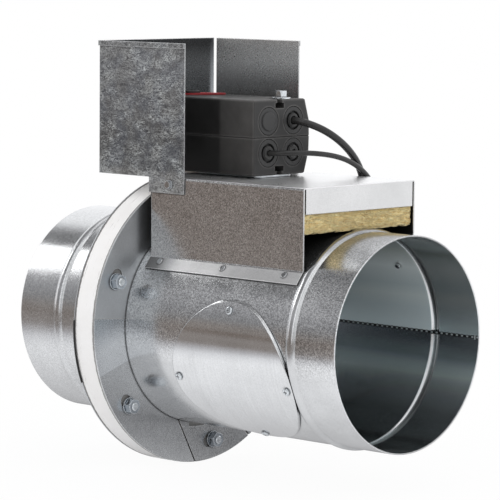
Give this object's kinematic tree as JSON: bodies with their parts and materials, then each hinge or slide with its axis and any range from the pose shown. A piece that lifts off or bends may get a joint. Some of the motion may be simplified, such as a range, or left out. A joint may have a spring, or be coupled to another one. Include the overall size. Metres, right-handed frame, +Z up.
{
  "type": "round duct fire damper",
  "caption": "Round galvanised fire damper with an insulating ring, a spring return actuator on a wool filled console, and an oval inspection cover",
  "frame": {"origin": "on the duct's axis, in the middle plane of the insulating ring, where the blade turns", "axes": "+X runs along the duct out of the long near spigot, +Z is up along the drive shaft towards the actuator, -Y is the side with the inspection cover"},
  "size_m": [0.4135, 0.2798, 0.406],
  "materials": {
    "galvanised": "hot-dip galvanised sheet with a faint spangle",
    "zinc": "bright zinc plating",
    "rivet_metal": "plain aluminium",
    "steel": "turned steel",
    "brass_bush": "turned brass",
    "calcium_board": "off-white calcium silicate board",
    "wool": "ochre mineral wool",
    "graphite": "dark graphite sealing strip",
    "dark_seal": "dark sealing rubber",
    "charcoal_plastic": "charcoal moulded plastic",
    "black_plastic": "black moulded plastic",
    "black_rubber": "soft black rubber",
    "cable_sheath": "black cable sheath",
    "core_insulation": "insulated cores in grey",
    "red_plastic": "red moulded plastic"
  },
  "bodies": {
    "shell": {"near_duct": "galvanised", "far_duct": "galvanised", "near_flange_upper": "galvanised", "near_flange_side": "galvanised", "near_flange_lower": "galvanised", "far_flange": "galvanised", "flange_gasket": "dark_seal", "insulating_ring": "calcium_board", "intumescent_strip": "graphite", "flange_bolts": "zinc", "flange_nuts": "zinc", "flange_washers": "zinc", "near_blade_stop": "galvanised", "far_blade_stop": "galvanised", "upper_bush": "brass_bush", "lower_bush": "brass_bush", "inspection_cover": "galvanised", "cover_gasket": "dark_seal", "cover_screws": "zinc", "console": "galvanised", "console_wool": "wool", "console_rivets": "rivet_metal", "guard_front": "galvanised", "guard_rear": "galvanised", "guard_screws": "zinc", "actuator_plate": "zinc", "actuator_lower_housing": "charcoal_plastic", "actuator_upper_housing": "charcoal_plastic", "port_blank": "charcoal_plastic", "thick_grommet": "black_rubber", "thin_grommet": "black_rubber", "open_grommet": "black_rubber", "actuator_bolt": "zinc", "actuator_washer": "zinc", "thick_cable": "cable_sheath", "thick_cable_coil": "cable_sheath", "thick_cable_tail": "cable_sheath", "thick_cable_cores": "core_insulation", "thin_cable": "cable_sheath", "thin_cable_coil": "cable_sheath", "thin_cable_tail": "cable_sheath", "thin_cable_cores": "core_insulation", "core_ferrules": "zinc", "cable_ties": "black_plastic"},
    "blade": {"blade_core": "calcium_board", "blade_near_skin": "galvanised", "blade_far_skin": "galvanised", "blade_seal": "graphite", "blade_brackets": "galvanised", "blade_bolts": "zinc", "blade_nuts": "zinc", "drive_shaft": "steel", "stub_shaft": "steel", "actuator_spindle": "steel", "position_indicator": "red_plastic", "spindle_hub": "black_plastic"}
  },
  "joints": [
    {"name": "blade_turn", "type": "hinge", "parent": "shell", "child": "blade", "pos_m": [0, 0, 0], "axis": [0, 0, -1], "range_deg": [0, 90], "stiffness_Nm_per_rad": 1.5, "springref_deg": -89.95}
  ]
}
